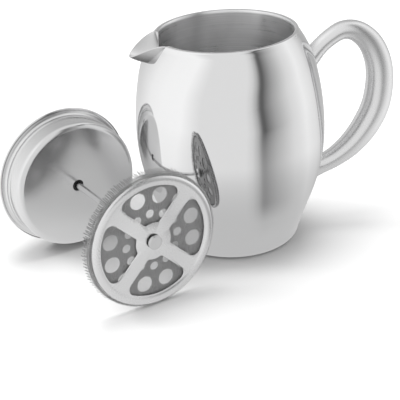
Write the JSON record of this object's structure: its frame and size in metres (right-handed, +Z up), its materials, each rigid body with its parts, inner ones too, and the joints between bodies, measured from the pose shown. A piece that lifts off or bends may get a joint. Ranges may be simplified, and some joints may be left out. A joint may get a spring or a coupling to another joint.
{
  "type": "french press",
  "caption": "Double-wall polished steel french press with a round tube handle and beak spout, its lid and plunger lying beside the pot.",
  "frame": {"origin": "centre of the flat base disc the pot stands on", "axes": "+Z up along the pot's axis, +X towards the handle, -X towards the spout"},
  "size_m": [0.3058, 0.2048, 0.165],
  "materials": {
    "mirror_steel": "mirror polished",
    "brushed_liner": "brushed round the bore",
    "base_steel": "satin",
    "satin_spout": "satin inside, bright lip",
    "satin_handle": "satin brushed along the tube",
    "pad_steel": "plain sheet",
    "lid_mirror": "mirror polished",
    "lid_cup_steel": "polished",
    "bush_plastic": "matte",
    "collar_steel": "polished",
    "rod_steel": "ground and polished",
    "stop_steel": "turned",
    "knob_steel": "mirror polished",
    "insert_steel": "turned",
    "spiral_steel": "rolled sheet",
    "coil_steel": "bright spring wire",
    "mesh_steel": "fine woven wire",
    "cross_steel": "satin tumbled",
    "nut_steel": "turned and polished"
  },
  "bodies": {
    "pot": {"pot_outer_shell": "mirror_steel", "pot_inner_liner": "brushed_liner", "pot_base_disc": "base_steel", "pot_spout": "satin_spout", "pot_handle": "satin_handle", "handle_upper_pad": "pad_steel", "handle_lower_pad": "pad_steel"},
    "lid": {"lid_cover": "lid_mirror", "lid_inner_cup": "lid_cup_steel", "lid_rod_bush": "bush_plastic", "lid_top_collar": "collar_steel"},
    "plunger": {"plunger_rod": "rod_steel", "rod_stop_collar": "stop_steel"},
    "knob": {"plunger_knob": "knob_steel", "knob_insert": "insert_steel"},
    "filter": {"filter_spiral_plate": "spiral_steel", "filter_coil": "coil_steel", "filter_mesh": "mesh_steel", "filter_cross_plate": "cross_steel", "filter_hub_nut": "nut_steel"}
  },
  "joints": [
    {"name": "lid_lift", "type": "slide", "parent": "pot", "child": "lid", "axis": [0, 0, 1], "range_m": [0, 0.2]},
    {"name": "plunger_slide", "type": "slide", "parent": "lid", "child": "plunger", "axis": [0.3197, -0.9471, -0.0277], "range_m": [-0.02, 0.017]},
    {"name": "knob_turn", "type": "hinge", "parent": "plunger", "child": "knob", "pos_m": [-0.1247, 0.0353, 0.05418], "axis": [0.3197, -0.9471, -0.0277], "continuous": true},
    {"name": "filter_turn", "type": "hinge", "parent": "plunger", "child": "filter", "pos_m": [-0.1247, 0.0353, 0.05418], "axis": [0.3197, -0.9471, -0.0277], "continuous": true}
  ]
}
